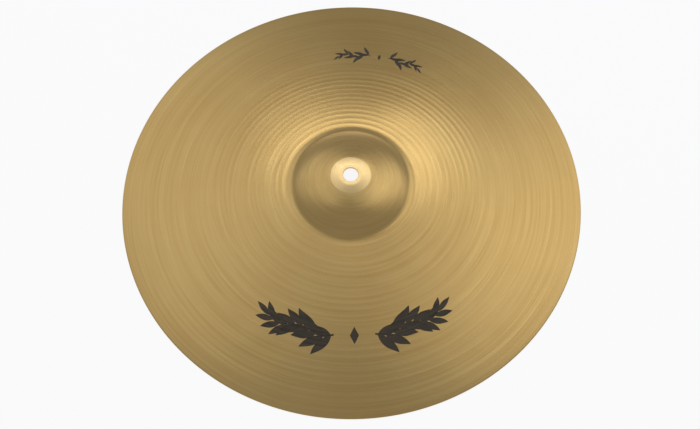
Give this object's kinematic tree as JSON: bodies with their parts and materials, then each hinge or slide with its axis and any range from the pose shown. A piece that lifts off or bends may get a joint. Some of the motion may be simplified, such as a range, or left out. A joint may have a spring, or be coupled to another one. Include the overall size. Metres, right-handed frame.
{
  "type": "suspended cymbal",
  "caption": "Thin round bronze cymbal plate with a low domed bell, a gently curved bow and a plain centre hole, made to hang freely on a stand or strap and ring when struck.",
  "frame": {"origin": "centre of the circle that the rim stands on, on the cymbal's axis", "axes": "+Z along the cymbal's axis, from the rim up through the bell; X and Y are any two directions across it, and -Y faces the picture's camera"},
  "size_m": [0.4064, 0.4064, 0.0403],
  "materials": {
    "bronze": "cast bell bronze, turned in fine rings, bright, with a smooth buffed disc round the hole"
  },
  "bodies": {
    "root": {"cymbal_plate": "bronze"}
  },
  "joints": []
}
